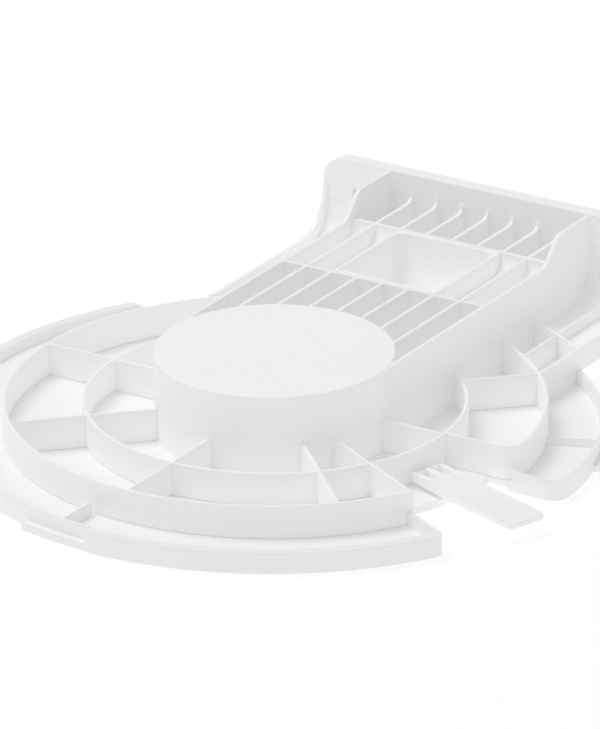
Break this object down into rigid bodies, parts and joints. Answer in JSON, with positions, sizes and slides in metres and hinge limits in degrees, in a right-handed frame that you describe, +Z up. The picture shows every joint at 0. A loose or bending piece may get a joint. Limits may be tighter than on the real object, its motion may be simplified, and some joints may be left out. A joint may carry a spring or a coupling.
{
  "type": "dish drying rack",
  "caption": "Dish drying rack: round drip tray with ring and divider walls, flat pedestal, ribbed plate stand with lift-out tub, curved backboard and fold-up drain spout.",
  "frame": {"origin": "centre of the underside of the middle foot, on the pedestal's axis, on the surface the rack stands on", "axes": "+Z up, +Y towards the backboard, +X to the right seen from the front"},
  "size_m": [0.3711, 0.414, 0.066],
  "materials": {
    "tray_plastic": "satin moulded white polypropylene",
    "rack_plastic": "satin moulded white polypropylene",
    "tub_plastic": "satin moulded white polypropylene",
    "spout_plastic": "satin moulded white polypropylene",
    "foot_rubber": "soft matt grey rubber",
    "fastener_steel": "plain stainless steel"
  },
  "bodies": {
    "tray_body": {"backboard": "tray_plastic", "base_screws": "fastener_steel", "channel_dam_left": "tray_plastic", "channel_dam_right": "tray_plastic", "channel_rib_front_left": "tray_plastic", "channel_rib_front_right": "tray_plastic", "channel_rib_rear_left": "tray_plastic", "channel_rib_rear_right": "tray_plastic", "cross_bar_front": "tray_plastic", "cross_bar_rear": "tray_plastic", "drip_tray": "tray_plastic", "front_lip": "tray_plastic", "front_slat_1": "tray_plastic", "front_slat_2": "tray_plastic", "front_slat_3": "tray_plastic", "front_slat_4": "tray_plastic", "front_slat_5": "tray_plastic", "front_slat_6": "tray_plastic", "front_slat_7": "tray_plastic", "middle_slat_left": "tray_plastic", "middle_slat_right": "tray_plastic", "pedestal": "tray_plastic", "rear_slat_1": "tray_plastic", "rear_slat_2": "tray_plastic", "rear_slat_3": "tray_plastic", "rear_slat_4": "tray_plastic", "rear_slat_5": "tray_plastic", "rear_slat_6": "tray_plastic", "rear_slat_7": "tray_plastic", "rubber_feet": "foot_rubber", "side_channel_left": "tray_plastic", "side_channel_right": "tray_plastic", "side_lip": "tray_plastic", "side_trough_left": "tray_plastic", "side_trough_right": "tray_plastic", "spout_pin": "tray_plastic", "stand_wall_left": "tray_plastic", "stand_wall_right": "tray_plastic"},
    "cup_rack_body": {"inner_divider_front": "rack_plastic", "inner_divider_front_left": "rack_plastic", "inner_divider_front_right": "rack_plastic", "inner_divider_left": "rack_plastic", "inner_divider_notch": "rack_plastic", "inner_divider_right": "rack_plastic", "inner_ring": "rack_plastic", "notch_cheek_left": "rack_plastic", "notch_cheek_right": "rack_plastic", "outer_divider_front": "rack_plastic", "outer_divider_front_left": "rack_plastic", "outer_divider_front_right": "rack_plastic", "outer_divider_left": "rack_plastic", "outer_divider_rear_left": "rack_plastic", "outer_divider_rear_right": "rack_plastic", "outer_ring_left": "rack_plastic", "outer_ring_right": "rack_plastic"},
    "tub_body": {"utensil_tub": "tub_plastic"},
    "spout_body": {"drain_spout": "spout_plastic"}
  },
  "joints": [
    {"name": "spout_hinge", "type": "hinge", "parent": "tray_body", "child": "spout_body", "pos_m": [0.10658, -0.01828, 0.01], "axis": [-0.3371, -0.9415, 0], "range_deg": [0, 85]},
    {"name": "rack_lift", "type": "slide", "parent": "tray_body", "child": "cup_rack_body", "axis": [0, 0, 1], "range_m": [0, 0.09]},
    {"name": "tub_lift", "type": "slide", "parent": "tray_body", "child": "tub_body", "axis": [0, 0, 1], "range_m": [0, 0.08]}
  ]
}
